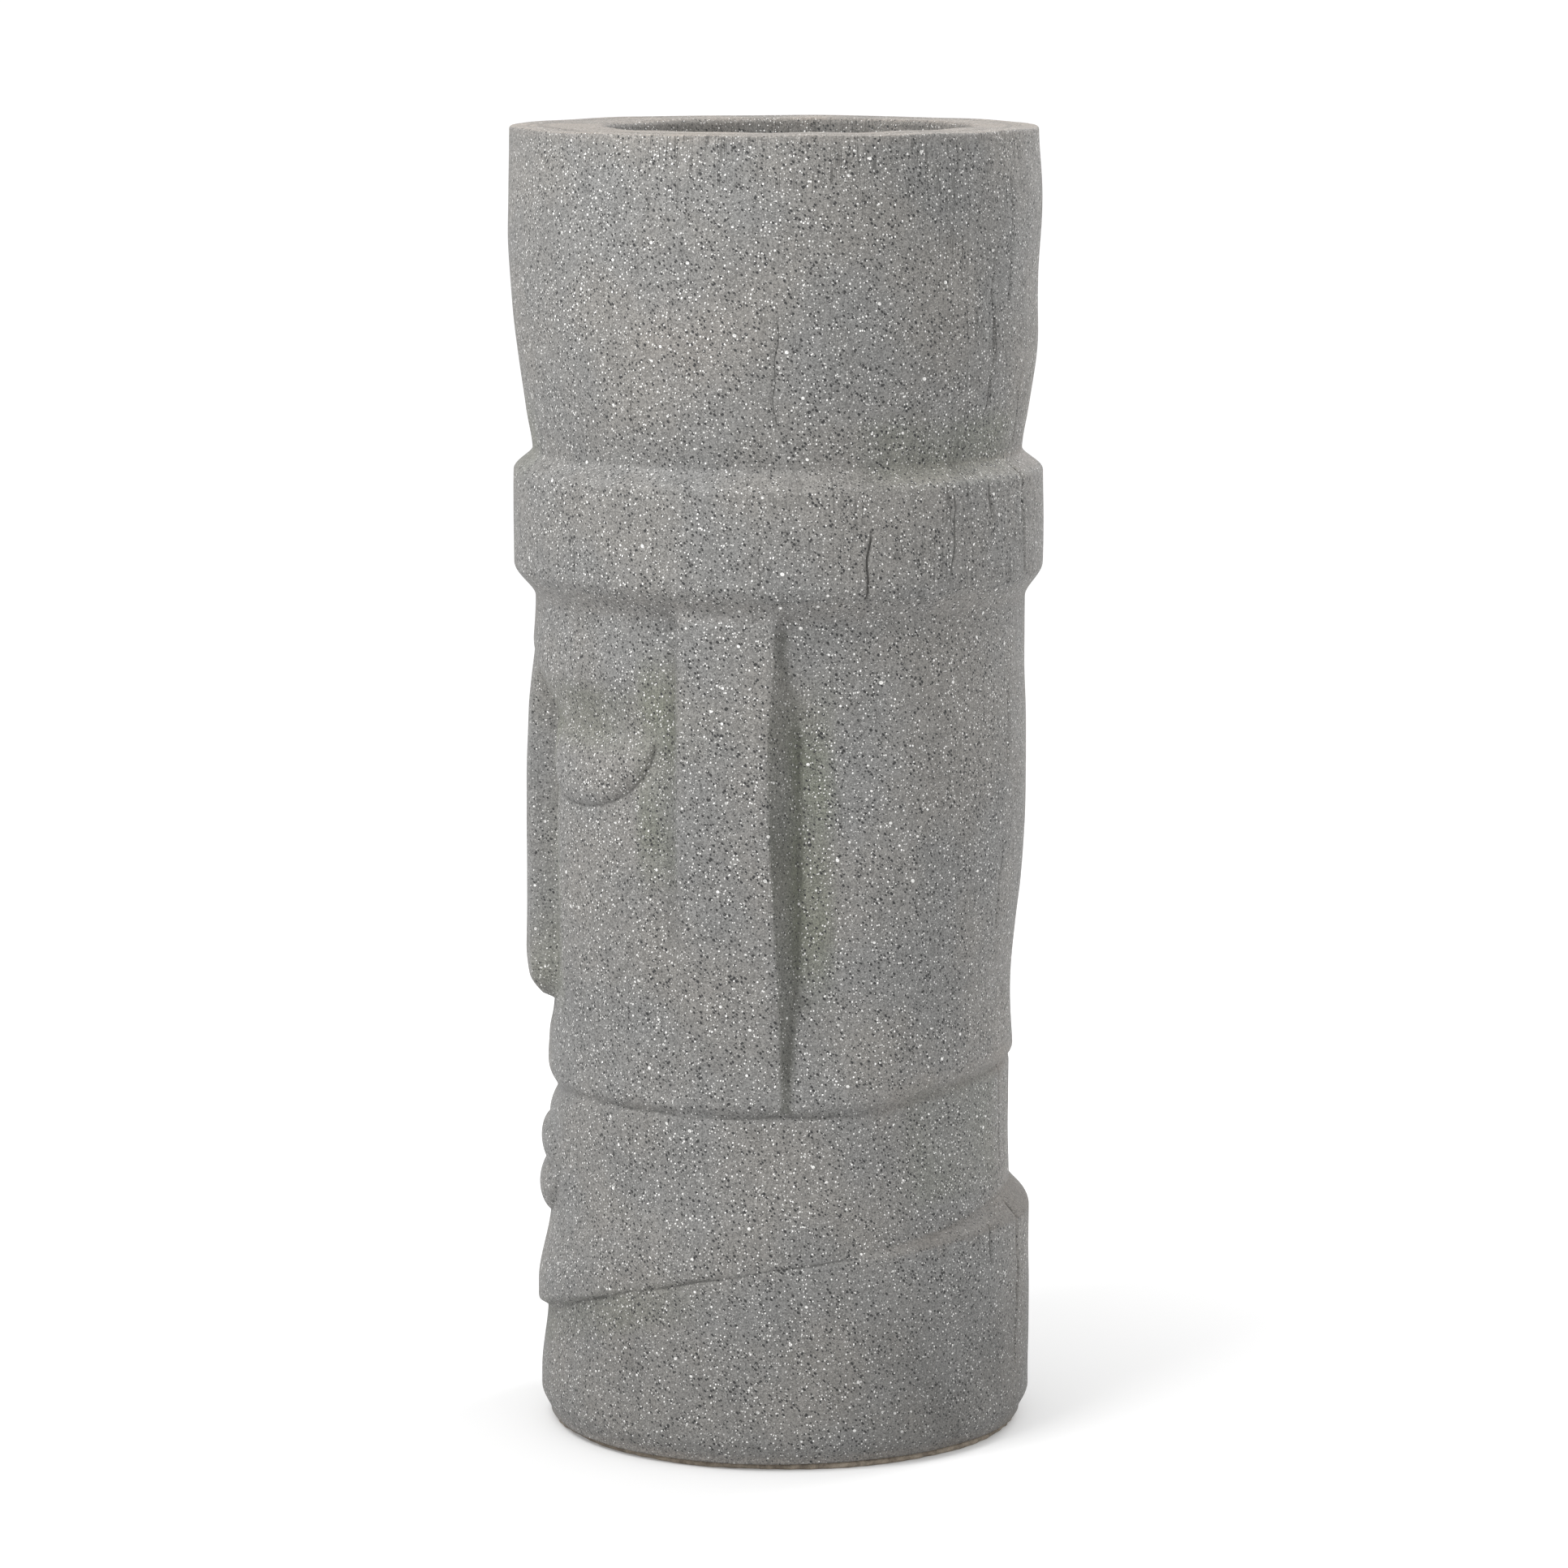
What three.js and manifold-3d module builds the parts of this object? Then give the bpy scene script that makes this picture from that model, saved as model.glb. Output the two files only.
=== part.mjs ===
// A garden planter in the shape of a carved tiki head, in millimetres, +Z up.
// The face looks along -Y, and the origin is the middle of the foot, on the ground.
//
// A hollow casting of fibre cement carries the carving. A planting bowl hangs inside its
// flared crown by a flange that is flush with the rim, and a plate closes the foot. Beads
// of mortar bond both. A plastic tube drains the bowl through the hollow, and a rubber
// stopper lifts out of the bowl's floor.

import * as THREE from 'three';
import { mergeVertices } from 'three/addons/utils/BufferGeometryUtils.js';
import Module from 'manifold-3d';

const wasm = await Module();
wasm.setup();

// ---------------------------------------------------------------- driving dimensions

const HEIGHT = 813; // 32 inches
const GAP = 0.3; // left between pieces that touch

// Heights of the carving's layers.
const BAND_LOW = 522; // the headband's lower edge starts to swell here
const BAND_LOW_SLOPE = 22;
const BAND_HIGH = 615; // and its upper edge ends here
const BAND_HIGH_SLOPE = 14;
const NOSE_LOW = 271;
const EYELID_TOP = 449;
const EYELID_HEIGHT = 44;
const EYELID_BULGE = 7;
const EYE_ANGLE = 38; // from the front, in degrees
const SOCKET_DEPTH = 8;
const FACE_RADIUS = 145; // turns an angle into a distance across the face
const MOUTH = 164;
const MOUTH_HALF_WIDTH = 50;

// The drain and the bowl share an axis, a little behind the middle of the rim.
const BOWL_Y = 7;
const BOWL_MOUTH_RADIUS = 113;
const BOWL_FLOOR_RADIUS = 92;
const BOWL_DEPTH = 230;
const BOWL_WALL = 10;
const BOWL_FLOOR_THICKNESS = 12;
const BOWL_FLANGE_THICKNESS = 12;
const FLOOR_Z = HEIGHT - BOWL_DEPTH;
const FLOOR_UNDERSIDE = FLOOR_Z - BOWL_FLOOR_THICKNESS;

const RIM_BEAD_WIDTH = 5;
const RIM_BEAD_DEPTH = 9;

const LIP_THICKNESS = 4; // the part of the foot plate that shows under the casting
const PLATE_THICKNESS = 14;
const PLATE_Y = 5.5;
const LIP_RADIUS = 147;
const SPIGOT_RADIUS = 136;
const FOOT_BEAD_HEIGHT = 8;

const TUBE_OUTER_RADIUS = 16;
const TUBE_INNER_RADIUS = 13.5;
const COLLAR_REACH = 10; // how far a collar of sealant spreads from the tube
const GROOVE_WIDTH = 12; // the weep groove under the foot plate
const GROOVE_DEPTH = 3;

const STOPPER_TOP_RADIUS = 12.6;
const STOPPER_TIP_RADIUS = 10.8;
const STOPPER_HEAD_RADIUS = 19;
const STOPPER_HEAD_THICKNESS = 3.5;
const PULL_RING_RADIUS = 8;
const PULL_RING_THICKNESS = 2;

// Angles from the front, in degrees, where the casting has a column of corners. They lie
// closer together at the nose's walls and at the ears.
const COLUMNS = [
  0, 4, 6.5, 8.5, 10.5, 12.5, 15, 20, 26, 32, 38, 44, 50, 55, 60, 65, 69, 74, 80, 86, 90, 93,
  96, 101, 108, 116, 125, 135, 145, 156, 168, 180,
];
const ROUND_SEGMENTS = 48;

// ---------------------------------------------------------------- small helpers

const { clamp, degToRad, lerp, smoothstep } = THREE.MathUtils;

// A smooth curve through stations [position, value]. It never overshoots a station, and
// it is flat beyond both ends.
function through(...stations) {
  const rise = (i) =>
    (stations[i + 1][1] - stations[i][1]) / (stations[i + 1][0] - stations[i][0]);
  const slopes = stations.map((_, i) => {
    if (i === 0 || i === stations.length - 1) return 0;
    const before = rise(i - 1);
    const after = rise(i);
    return before * after <= 0 ? 0 : (2 * before * after) / (before + after);
  });
  return (at) => {
    const last = stations.length - 1;
    if (at <= stations[0][0]) return stations[0][1];
    if (at >= stations[last][0]) return stations[last][1];
    const i = stations.findIndex((_, k) => at < stations[k + 1][0]);
    const width = stations[i + 1][0] - stations[i][0];
    const t = (at - stations[i][0]) / width;
    const near = (1 + 2 * t) * (1 - t) ** 2 * stations[i][1] + t * (1 - t) ** 2 * width * slopes[i];
    const far = t * t * (3 - 2 * t) * stations[i + 1][1] - t * t * (1 - t) * width * slopes[i + 1];
    return near + far;
  };
}

// The value at an angle from its values at the front, the side and the back.
function around(angle, front, side, back) {
  const c = Math.cos(degToRad(angle));
  return side * (1 - c * c) + (c > 0 ? front : back) * c * c;
}

// The smaller of two lengths, rounded off where they meet.
function softMin(a, b, round) {
  const h = Math.max(round - Math.abs(a - b), 0) / round;
  return Math.min(a, b) - (h * h * round) / 4;
}

// ---------------------------------------------------------------- the carved surface

// Edges of the layers, as heights for each angle from the front.
const jawLine = through([0, 71], [35, 90], [54, 104], [76, 119], [108, 130], [150, 136]);
const jawLedge = through([0, 5], [100, 4], [128, 7], [145, 12], [160, 17], [180, 20]);
const cheekLine = through([0, 212], [40, 220], [110, 222], [130, 229], [150, 233]);

// Radii of the layers.
const baseFront = through([0, 149], [29, 149], [70, 145]);
const jawEdge = through([0, 151], [45, 152.5], [70, 154.5], [95, 154.5], [125, 150], [180, 147]);
const neckTop = through([0, 143], [45, 147], [90, 150.5], [130, 147.5], [180, 146]);
const headFront = through([220, 143.5], [262, 141.5], [300, 146], [478, 152], [522, 149.5]);
const headSide = through([200, 152.5], [260, 151.5], [420, 155], [522, 152.5]);
const headBack = through([230, 148.5], [275, 146.5], [345, 153], [405, 156.5], [522, 154.5]);
const crownFront = through([610, 151], [640, 155.5], [666, 159], [700, 162.5], [750, 165.5], [813, 164]);
const crownBack = through(
  [610, 152.5], [640, 156.5], [690, 162], [720, 161.5], [770, 163.5], [813, 161.5],
);

// How far the flat of the face lies from the axis. Beyond the body's radius it does nothing.
const facePlane = through(
  [222, 165], [262, 141], [300, 136], [440, 134.5], [455, 137], [480, 147], [510, 164],
);

const noseFront = through(
  [269, 140], [275, 149], [284, 155], [302, 157], [400, 156.5], [450, 155], [510, 149],
);
const noseHalfWidth = through([271, 30], [288, 33], [314, 28], [430, 20], [480, 21], [505, 24]);
const noseShare = through([267, 0], [275, 1], [480, 1], [520, 0]);

const groovedDepth = through([0, 5.5], [30, 3.5], [50, 1.6], [110, 1.6], [180, 1.5]);
const groovedHeight = through([0, 9], [30, 4], [50, 2.5], [180, 2.5]);

const earLift = through([225, 0.5], [270, 2], [410, 5.5], [530, 6.5]);
const earWallDepth = through([225, 1], [262, 6], [310, 11], [390, 13], [445, 11], [521, 3.5]);
const earBackEdge = through([230, 91], [440, 88], [512, 89.5]);
const earWallFoot = through([230, 92.5], [325, 95.5], [440, 95.5], [512, 91.5]);

function neckRadius(angle, z) {
  const jaw = jawLine(angle);
  return lerp(jawEdge(angle), neckTop(angle), smoothstep(z, jaw + 15, jaw + 62));
}

// The lips swell from the corners of the mouth to the middle.
function lips(angle, z) {
  const across = (FACE_RADIUS * Math.sin(degToRad(angle))) / MOUTH_HALF_WIDTH;
  if (angle > 60 || across >= 1) return 0;
  const full = Math.sqrt(1 - across * across);
  const lip = (middle, half, swell) => {
    const off = (z - lerp(MOUTH, middle, full)) / (half * full + 1);
    return swell * full * Math.max(0, 1 - off * off) ** 0.7;
  };
  return Math.max(lip(MOUTH + 15, 13, 5.5), lip(MOUTH - 15, 16, 7));
}

// A closed eyelid: a half-moon, flat on top, that bulges out of a shallow socket.
function eye(angle, z) {
  const inward = (reach) => Math.max(1 - ((angle - EYE_ANGLE) / reach) ** 2, 0);
  const up = Math.max(1 - ((z - EYELID_TOP - 3) / (z > EYELID_TOP + 3 ? 40 : 62)) ** 2, 0);
  const socket = SOCKET_DEPTH * inward(34) ** 2 * up ** 2;
  const moon = Math.sqrt(inward(23));
  const half = EYELID_HEIGHT * 0.5 * moon + 0.01;
  const off = (z - EYELID_TOP + half) / half;
  const lid = EYELID_BULGE * moon ** 0.8 * Math.max(0, 1 - off * off) ** 0.6;
  return lid - socket;
}

function ear(angle, z) {
  const edge = earBackEdge(z);
  const foot = earWallFoot(z);
  const wall = clamp((angle - edge) / (foot - edge), 0, 1);
  const valley = 3 * smoothstep(angle, 56, 65) * (1 - smoothstep(angle, 65, 69));
  const lean = 1 - 0.5 * smoothstep(angle, 69, 88);
  const plate = earLift(z) * smoothstep(angle, 65.5, 69) * lean * (1 - wall);
  const hollow = earWallDepth(z) * wall * (1 - smoothstep(angle, foot, 126));
  return (plate - hollow - valley) * smoothstep(z, 224, 232) * (1 - smoothstep(z, 520, 532));
}

function headRadius(angle, z) {
  const body = around(angle, headFront(z), headSide(z), headBack(z));
  const c = Math.cos(degToRad(angle));
  if (c < 0.3) return body + ear(angle, z);
  const flat = softMin(body + ear(angle, z), facePlane(z) / c, 8) + eye(angle, z);
  const across = FACE_RADIUS * Math.sin(degToRad(angle));
  const width = noseHalfWidth(z);
  const nose = noseShare(z) * (1 - smoothstep(across, width - 4, width + 7));
  const ridge = noseFront(z) / c - 4 * (across / width) ** 2;
  return lerp(flat, Math.max(ridge, flat), nose);
}

// The radius of the casting's outside, for an angle of 0 to 180 degrees from the front.
function outerRadius(angle, z) {
  const jaw = jawLine(angle);
  const cheek = cheekLine(angle);
  const foot = 6 * (1 - smoothstep(z, LIP_THICKNESS, 20));
  let radius = around(angle, baseFront(z), 154.5, 159.8) - foot;
  const neck = neckRadius(angle, z) + lips(angle, z);
  radius = lerp(radius, neck, smoothstep(z, jaw, jaw + jawLedge(angle)));
  radius = lerp(radius, headRadius(angle, z), smoothstep(z, cheek - 1, cheek + 7));
  radius -= groovedDepth(angle) * Math.exp(-(((z - cheek) / groovedHeight(angle)) ** 2));
  const band = around(angle, 162.8, 164, 165.5);
  radius = lerp(radius, band, smoothstep(z, BAND_LOW, BAND_LOW + BAND_LOW_SLOPE));
  const crown = around(angle, crownFront(z), (crownFront(z) + crownBack(z)) / 2, crownBack(z));
  radius = lerp(radius, crown, smoothstep(z, BAND_HIGH - BAND_HIGH_SLOPE, BAND_HIGH));
  return radius - 2.5 * smoothstep(z, HEIGHT - 5, HEIGHT);
}

// The inside follows the outside loosely, as a wall laid up by hand does.
const innerFront = through(
  [0, 137], [70, 132], [230, 129.5], [300, 124.5], [450, 124], [510, 138], [536, 142],
  [600, 139.5], [660, 146], [760, 153], [813, 152],
);
const innerSide = through(
  [0, 142.5], [110, 138], [230, 137], [300, 131], [465, 131], [536, 143], [600, 140.5],
  [660, 147], [760, 153], [813, 151],
);
const innerBack = through(
  [0, 148], [110, 147], [152, 134], [230, 131], [280, 134.5], [350, 141.5], [500, 142.5],
  [536, 144], [600, 140.5], [660, 147.5], [760, 151.5], [813, 150],
);

function innerRadius(angle, z) {
  return around(angle, innerFront(z), innerSide(z), innerBack(z));
}

// ---------------------------------------------------------------- building solids

const ringAngles = [...COLUMNS, ...COLUMNS.slice(1, -1).reverse().map((angle) => -angle)];

// A closed solid around the axis. Each rail is a ring, place(angle) gives its point at an
// angle from the front, and the skin runs from each rail to the next and back to the first.
// A lathe of dummy points gives the faces, and each of its rings is laid on its rail.
function skin(rails, angles = ringAngles) {
  const dummy = rails.map((_, i) => new THREE.Vector2(1, i));
  const geometry = new THREE.LatheGeometry([...dummy, dummy[0]], angles.length);
  const position = geometry.getAttribute('position');
  const perColumn = rails.length + 1;
  for (let i = 0; i < position.count; i++) {
    const angle = angles[Math.floor(i / perColumn) % angles.length];
    const point = rails[(i % perColumn) % rails.length](angle);
    position.setXYZ(i, point.x, point.y, point.z);
  }
  splitAcross(geometry);
  return welded(geometry);
}

// Splits each four-sided face of a lathe along its shorter diagonal, so that the edges of
// the carving stay crisp, and the same on both sides.
function splitAcross(geometry) {
  const { position } = geometry.attributes;
  const point = (i) => new THREE.Vector3().fromBufferAttribute(position, i);
  const faces = geometry.index.array;
  for (let i = 0; i < faces.length; i += 6) {
    const [a, b, d, c] = faces.subarray(i, i + 4);
    if (point(a).distanceTo(point(c)) < point(b).distanceTo(point(d)) - 1e-4) {
      faces.set([a, b, c, a, c, d], i);
    }
  }
}

// A ring of one radius and height about an axis at y = centre.
const circle = (radius, z, centre = 0) => (angle) => {
  const turn = degToRad(angle);
  return new THREE.Vector3(radius * Math.sin(turn), centre - radius * Math.cos(turn), z);
};

// A ring whose radius, and perhaps height, changes round the axis, the same on both sides.
const rail = (radiusAt, heightAt) => (angle) => {
  const side = Math.abs(angle);
  const z = heightAt(side);
  return circle(radiusAt(side, z), z)(angle);
};

const evenAngles = Array.from({ length: ROUND_SEGMENTS }, (_, i) => (360 * i) / ROUND_SEGMENTS);

function welded(geometry) {
  geometry.deleteAttribute('normal');
  geometry.deleteAttribute('uv');
  return mergeVertices(geometry, 1e-4);
}

function solidOf(geometry) {
  return new wasm.Manifold(
    new wasm.Mesh({
      numProp: 3,
      vertProperties: new Float32Array(geometry.getAttribute('position').array),
      triVerts: new Uint32Array(geometry.index.array),
    }),
  );
}

function geometryOf(solid) {
  const mesh = solid.getMesh();
  return new THREE.BufferGeometry()
    .setAttribute('position', new THREE.BufferAttribute(mesh.vertProperties, 3))
    .setIndex(new THREE.BufferAttribute(mesh.triVerts, 1));
}

// A lathe about the axis at y = centre, from an outline of [radius, z] that ends on the axis.
function turned(outline, centre) {
  const points = outline.map(([radius, z]) => new THREE.Vector2(radius, z));
  const geometry = new THREE.LatheGeometry(points, ROUND_SEGMENTS);
  return welded(geometry.rotateX(Math.PI / 2).translate(0, centre, 0));
}

const finishes = {
  stone: { color: 0x92908d, roughness: 0.85, metalness: 0 },
  mortar: { color: 0x9d9389, roughness: 0.9, metalness: 0 },
  pipe: { color: 0xdfddd6, roughness: 0.4, metalness: 0 },
  rubber: { color: 0x1d1d1e, roughness: 0.7, metalness: 0 },
};

const planter = new THREE.Group();

function addPiece(name, geometry, finish) {
  const mesh = new THREE.Mesh(geometry, new THREE.MeshStandardMaterial(finish));
  mesh.name = name;
  geometry.computeVertexNormals();
  planter.add(mesh);
}

// ---------------------------------------------------------------- the carved casting

// Heights of the casting's rows, each for an angle from the front. Most are shares of a
// layer's height, so they run along its edges. The face's own rows are level.
function outerHeights() {
  const shares = (low, high, fractions) =>
    fractions.map((share) => (angle) => lerp(low(angle), high(angle), share));
  const level = (heights) => heights.map((z) => () => z);
  const foot = () => LIP_THICKNESS + GAP;
  const rim = () => HEIGHT;
  const ledgeTop = (angle) => jawLine(angle) + jawLedge(angle);
  const cheekTop = (angle) => cheekLine(angle) + 8;
  const nose = () => NOSE_LOW;
  const mouthRows = level([-31, -24, -15, -5, 0, 5, 15, 23, 29].map((up) => MOUTH + up));
  const sideRows = shares(ledgeTop, cheekLine, [0.3, 0.4, 0.5, 0.58, 0.65, 0.72, 0.79, 0.86, 0.93]);
  const jawRows = mouthRows.map((row, i) => (angle) =>
    lerp(row(angle), sideRows[i](angle), smoothstep(angle, 22, 55)),
  );
  return [
    ...shares(foot, jawLine, [0, 0.08, 0.2, 0.6]),
    ...shares(jawLine, ledgeTop, [0, 0.5]),
    ...shares(ledgeTop, cheekLine, [0, 0.15]),
    ...jawRows,
    ...shares(cheekLine, cheekTop, [0, 1]),
    ...shares(cheekTop, nose, [0.5, 1]),
    ...level([278, 290, 314, 346, 378, 396, 405, 414, 424, 435, 444, 449, 453, 462, 473, 486, 503]),
    ...shares(() => BAND_LOW, () => BAND_LOW + BAND_LOW_SLOPE, [0, 0.33, 0.67, 1]),
    ...shares(() => BAND_HIGH - BAND_HIGH_SLOPE, () => BAND_HIGH, [0, 0.35, 0.7, 1]),
    ...shares(() => BAND_HIGH, rim, [0.2, 0.45, 0.7, 0.97, 1]),
  ];
}

function outerShell() {
  const outside = outerHeights().map((height) => rail(outerRadius, height));
  const insideHeights = [
    HEIGHT, HEIGHT - RIM_BEAD_DEPTH, 760, 660, 600, 536, 505, 455, 350, 290, 230, 152, 110, 60,
    LIP_THICKNESS + FOOT_BEAD_HEIGHT, LIP_THICKNESS + GAP,
  ];
  const inside = insideHeights.map((z) => rail(innerRadius, () => z));
  return skin([...outside, ...inside]);
}

addPiece('outer_shell', outerShell(), finishes.stone);

// ---------------------------------------------------------------- the planting bowl

function plantingBowl() {
  const flangeEdge = (angle) => innerRadius(angle, HEIGHT) - RIM_BEAD_WIDTH;
  const wallTop = HEIGHT - BOWL_FLANGE_THICKNESS;
  const outerFloorRadius = BOWL_FLOOR_RADIUS + BOWL_WALL;
  const outerMouthRadius = BOWL_MOUTH_RADIUS + BOWL_WALL;
  return skin([
    circle(STOPPER_TIP_RADIUS + GAP, FLOOR_UNDERSIDE, BOWL_Y),
    circle(outerFloorRadius - 8, FLOOR_UNDERSIDE, BOWL_Y),
    circle(outerFloorRadius, FLOOR_UNDERSIDE + 8, BOWL_Y),
    circle(outerMouthRadius, wallTop, BOWL_Y),
    rail(flangeEdge, () => wallTop),
    rail(flangeEdge, () => HEIGHT),
    circle(BOWL_MOUTH_RADIUS + 3, HEIGHT, BOWL_Y),
    circle(BOWL_MOUTH_RADIUS, HEIGHT - 3, BOWL_Y),
    circle(BOWL_FLOOR_RADIUS, FLOOR_Z + 12, BOWL_Y),
    circle(BOWL_FLOOR_RADIUS - 12, FLOOR_Z, BOWL_Y),
    circle(STOPPER_TOP_RADIUS + GAP, FLOOR_Z, BOWL_Y),
  ]);
}

addPiece('planting_bowl', plantingBowl(), finishes.stone);

// The mortar between the casting and the bowl's flange.
function rimBead() {
  const outer = (angle) => innerRadius(angle, HEIGHT) - GAP;
  const inner = (angle) => innerRadius(angle, HEIGHT) - RIM_BEAD_WIDTH + GAP;
  const low = () => HEIGHT - RIM_BEAD_DEPTH;
  const high = () => HEIGHT - 0.5;
  return skin([rail(inner, low), rail(outer, low), rail(outer, high), rail(inner, high)]);
}

addPiece('rim_mortar_bead', rimBead(), finishes.mortar);

// ---------------------------------------------------------------- the foot

// A disc with a thin lip under the casting's wall, a thicker middle inside it, a hole for
// the drain tube, and a groove underneath that lets the water out.
function basePlate() {
  const disc = skin([
    circle(TUBE_OUTER_RADIUS + GAP, 0, BOWL_Y),
    circle(LIP_RADIUS - 1, 0, PLATE_Y),
    circle(LIP_RADIUS, LIP_THICKNESS, PLATE_Y),
    circle(SPIGOT_RADIUS, LIP_THICKNESS, PLATE_Y),
    circle(SPIGOT_RADIUS, PLATE_THICKNESS, PLATE_Y),
    circle(TUBE_OUTER_RADIUS + GAP, PLATE_THICKNESS, BOWL_Y),
  ]);
  const length = LIP_RADIUS + 10;
  const groove = new THREE.BoxGeometry(GROOVE_WIDTH, length, 2 * GROOVE_DEPTH);
  groove.translate(0, BOWL_Y + TUBE_OUTER_RADIUS / 2 + length / 2, 0);
  return geometryOf(solidOf(disc).subtract(solidOf(welded(groove))));
}

addPiece('base_plate', basePlate(), finishes.mortar);

function footBead() {
  const low = () => LIP_THICKNESS + GAP;
  const high = () => LIP_THICKNESS + FOOT_BEAD_HEIGHT;
  const outer = (angle, z) => innerRadius(angle, z) - 2 * GAP;
  const inner = SPIGOT_RADIUS + GAP;
  return skin([
    circle(inner, low(), PLATE_Y),
    rail(outer, low),
    rail(outer, high),
    circle(inner, high(), PLATE_Y),
  ]);
}

addPiece('base_mortar_bead', footBead(), finishes.mortar);

// ---------------------------------------------------------------- the drain

function drainTube() {
  const low = GROOVE_DEPTH;
  const high = FLOOR_UNDERSIDE - GAP;
  return skin(
    [
      circle(TUBE_INNER_RADIUS, low, BOWL_Y),
      circle(TUBE_OUTER_RADIUS, low, BOWL_Y),
      circle(TUBE_OUTER_RADIUS, high, BOWL_Y),
      circle(TUBE_INNER_RADIUS, high, BOWL_Y),
    ],
    evenAngles,
  );
}

addPiece('drain_tube', drainTube(), finishes.pipe);

// A fillet of sealant in the corner between the tube and a flat face at height z. It
// spreads along the face and climbs the tube, upwards if side is 1 and downwards if -1.
function collar(z, side) {
  const near = TUBE_OUTER_RADIUS + GAP;
  const far = near + COLLAR_REACH;
  const face = z + side * GAP;
  const climb = side * COLLAR_REACH;
  const outline = [
    circle(near, face, BOWL_Y),
    circle(far, face, BOWL_Y),
    circle(lerp(near, far, 0.3), face + 0.4 * climb, BOWL_Y),
    circle(near + 1, face + climb, BOWL_Y),
    circle(near, face + climb, BOWL_Y),
  ];
  return skin(side > 0 ? outline : outline.reverse(), evenAngles);
}

addPiece('upper_tube_collar', collar(FLOOR_UNDERSIDE, -1), finishes.mortar);
addPiece('lower_tube_collar', collar(PLATE_THICKNESS, 1), finishes.mortar);

// A tapered plug with a head that rests on the bowl's floor and a ring to pull it by.
function drainStopper() {
  const seat = FLOOR_Z + GAP;
  const top = seat + STOPPER_HEAD_THICKNESS;
  const plug = turned(
    [
      [0, FLOOR_UNDERSIDE],
      [STOPPER_TIP_RADIUS, FLOOR_UNDERSIDE],
      [STOPPER_TOP_RADIUS, seat],
      [STOPPER_HEAD_RADIUS, seat],
      [STOPPER_HEAD_RADIUS, top - 1],
      [STOPPER_HEAD_RADIUS - 1, top],
      [0, top],
    ],
    BOWL_Y,
  );
  const ring = new THREE.TorusGeometry(PULL_RING_RADIUS, PULL_RING_THICKNESS, 10, 28);
  ring.rotateX(Math.PI / 2).translate(0, BOWL_Y, top + PULL_RING_RADIUS - 0.5);
  return geometryOf(solidOf(plug).add(solidOf(welded(ring))));
}

addPiece('drain_stopper', drainStopper(), finishes.rubber);

export default planter;
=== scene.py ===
"""The looks of the tiki planter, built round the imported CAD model. It runs inside Blender.

The carving is written in millimetres: a radius for each angle round the axis and each
height, which is scaled to metres where the meshes are made. Angles are in degrees, 0 at the
face and growing towards +X. The carving is the same on both sides, and its wear is not.
"""

import math

import bpy
import numpy as np
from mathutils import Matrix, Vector


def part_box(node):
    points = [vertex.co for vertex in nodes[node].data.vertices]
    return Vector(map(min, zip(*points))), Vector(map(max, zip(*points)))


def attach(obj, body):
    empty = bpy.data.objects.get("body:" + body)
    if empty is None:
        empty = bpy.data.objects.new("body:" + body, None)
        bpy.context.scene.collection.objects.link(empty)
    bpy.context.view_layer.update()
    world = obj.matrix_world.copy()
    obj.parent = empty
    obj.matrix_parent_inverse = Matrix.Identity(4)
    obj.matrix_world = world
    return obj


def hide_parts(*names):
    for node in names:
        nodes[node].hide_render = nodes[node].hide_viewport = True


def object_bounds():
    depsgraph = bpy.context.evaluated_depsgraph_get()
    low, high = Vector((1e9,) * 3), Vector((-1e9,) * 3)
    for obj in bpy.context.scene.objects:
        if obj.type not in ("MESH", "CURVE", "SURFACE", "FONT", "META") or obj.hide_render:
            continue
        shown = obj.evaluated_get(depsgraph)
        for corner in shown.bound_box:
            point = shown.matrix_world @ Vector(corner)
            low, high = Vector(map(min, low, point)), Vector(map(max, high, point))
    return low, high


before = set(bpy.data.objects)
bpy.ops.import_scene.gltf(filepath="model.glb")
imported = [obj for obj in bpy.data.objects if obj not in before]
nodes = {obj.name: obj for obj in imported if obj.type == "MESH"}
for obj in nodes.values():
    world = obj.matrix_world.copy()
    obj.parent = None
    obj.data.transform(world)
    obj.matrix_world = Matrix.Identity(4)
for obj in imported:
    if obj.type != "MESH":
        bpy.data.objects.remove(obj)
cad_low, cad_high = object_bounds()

MM = 0.001


def box_mm(node):
    """A CAD node's lowest and highest corners, in millimetres."""
    low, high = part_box(node)
    return np.array(low) / MM, np.array(high) / MM


# ---------------------------------------------------------------- sizes

SHELL_LOW, SHELL_HIGH = box_mm("outer_shell")
FOOT = SHELL_LOW[2]
HEIGHT = SHELL_HIGH[2]
BOWL_LOW = box_mm("planting_bowl")[0]
TUBE_LOW, TUBE_HIGH = box_mm("drain_tube")
BOWL_Y = (TUBE_LOW[1] + TUBE_HIGH[1]) / 2
STOPPER_LOW, STOPPER_HIGH = box_mm("drain_stopper")

BODY_RADIUS = 155  # turns an angle into a distance along the surface
FACE_RADIUS = 145  # turns an angle into a distance across the face
FACE_COSINE = 0.3  # the face ends where an angle's cosine falls to this
FACE_BLEND = 8
BASE_SIDE = 154.5
BASE_BACK = 159.8
FOOT_PULLED_IN = 6
BAND_LOW = 522
BAND_LOW_SLOPE = 22
BAND_HIGH = 615
BAND_HIGH_SLOPE = 14
BAND_FRONT = 162.8
BAND_SIDE = 164
BAND_BACK = 165.5
MOUTH = 164
MOUTH_HALF_WIDTH = 50
EYE_ANGLE = 38
EYELID_TOP = 449
EYELID_HEIGHT = 44
EYELID_HALF_WIDTH = 62
EYELID_REACH = 23  # degrees to each side of the eye's middle
EYELID_BULGE = 7
SOCKET_REACH = 34  # degrees, as above
SOCKET_ABOVE = 40
SOCKET_BELOW = 62
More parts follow.
